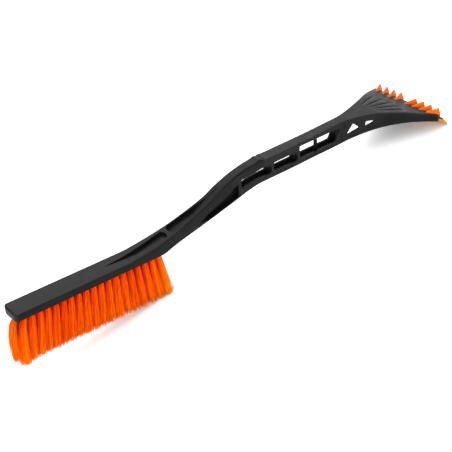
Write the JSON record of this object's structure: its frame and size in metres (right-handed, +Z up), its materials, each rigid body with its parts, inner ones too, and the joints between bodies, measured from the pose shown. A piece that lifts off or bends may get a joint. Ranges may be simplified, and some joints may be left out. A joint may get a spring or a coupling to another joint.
{
  "type": "snow brush scraper",
  "caption": "Hand snow brush: long black truss handle with an orange bristle brush at one end and a fan-shaped ice scraper head with orange picks and blade at the other.",
  "frame": {"origin": "middle of the bounding box, on the surface that the brush lies on", "axes": "+X from the brush to the scraper, +Z up, +Y to the left of someone who looks along the brush towards the scraper; Y = 0 is the plane of symmetry"},
  "size_m": [0.6472, 0.12, 0.1063],
  "materials": {
    "black_moulding": "satin moulded polypropylene, black",
    "cover_moulding": "fine-grained moulded polypropylene, black",
    "screw_steel": "zinc plated",
    "orange_teeth": "semi-gloss moulded, orange",
    "amber_blade": "semi-gloss, slightly translucent amber orange",
    "orange_bristle": "fine crimped filaments, bright orange",
    "anchor_wire": "flat drawn wire"
  },
  "bodies": {
    "root": {"handle_frame": "black_moulding", "top_cover": "cover_moulding", "cover_screws": "screw_steel", "ice_teeth_left": "orange_teeth", "ice_teeth_right": "orange_teeth", "scraper_blade": "amber_blade", "bristle_row_right": "orange_bristle", "bristle_row_middle": "orange_bristle", "bristle_row_left": "orange_bristle", "tuft_anchors_right": "anchor_wire", "tuft_anchors_middle": "anchor_wire", "tuft_anchors_left": "anchor_wire"}
  },
  "joints": []
}
